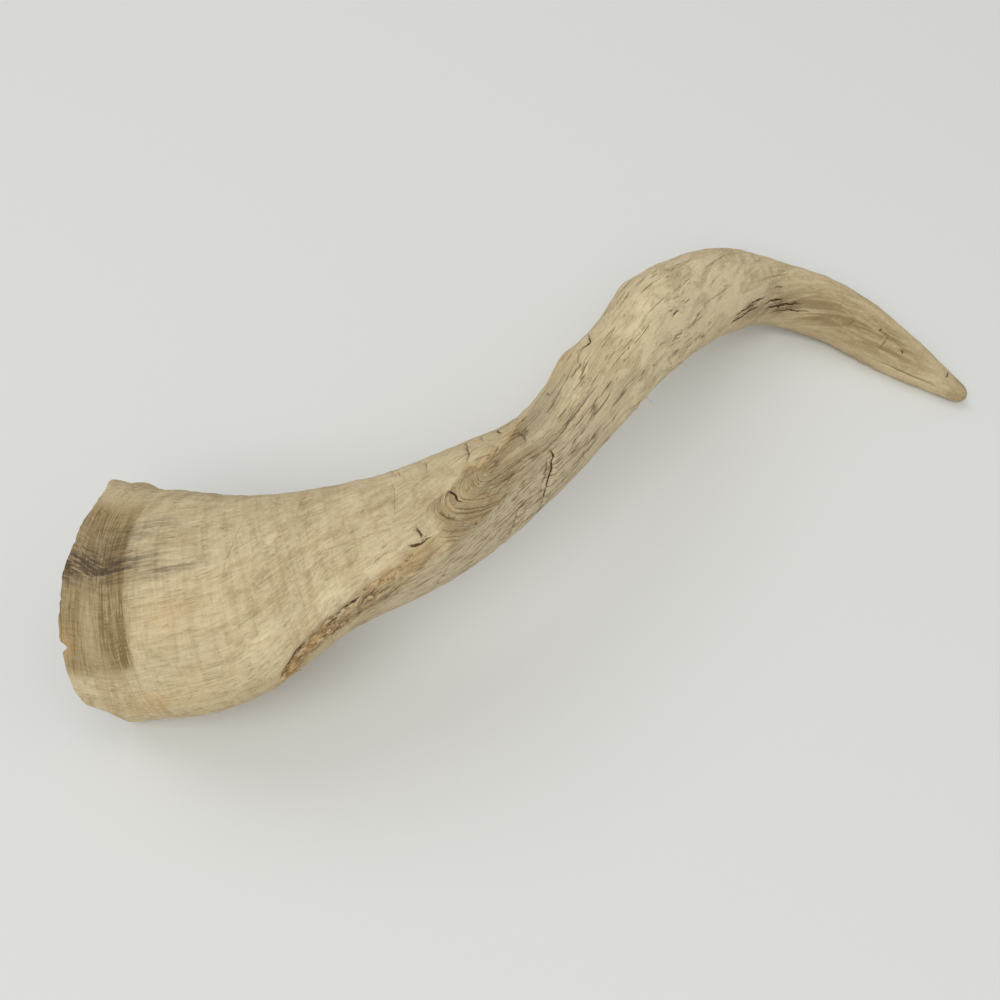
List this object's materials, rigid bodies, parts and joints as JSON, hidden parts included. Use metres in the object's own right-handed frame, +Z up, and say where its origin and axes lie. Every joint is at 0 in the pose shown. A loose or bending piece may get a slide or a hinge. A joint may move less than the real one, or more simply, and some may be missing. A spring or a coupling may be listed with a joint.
{
  "type": "goat horn",
  "caption": "Weathered hollow goat horn sheath, wide and flattened at the open base, twisting and tapering to a hooked tip, lying on its side",
  "frame": {"origin": "centre of the bounding box in plan, on the surface that the horn lies on", "axes": "+Z up; +X along the length, from the open base to the tip; +Y towards the outside of the bend near the tip"},
  "size_m": [0.2874, 0.1027, 0.0625],
  "materials": {
    "weathered_horn": "dry, matt, bleached keratin, straw beige and fibrous like old driftwood, with grey-brown stains at the rim, fine growth rings, checks, a flaking ochre crust along the keel and brown blotches near the tip"
  },
  "bodies": {
    "root": {"horn_sheath": "weathered_horn"}
  },
  "joints": []
}
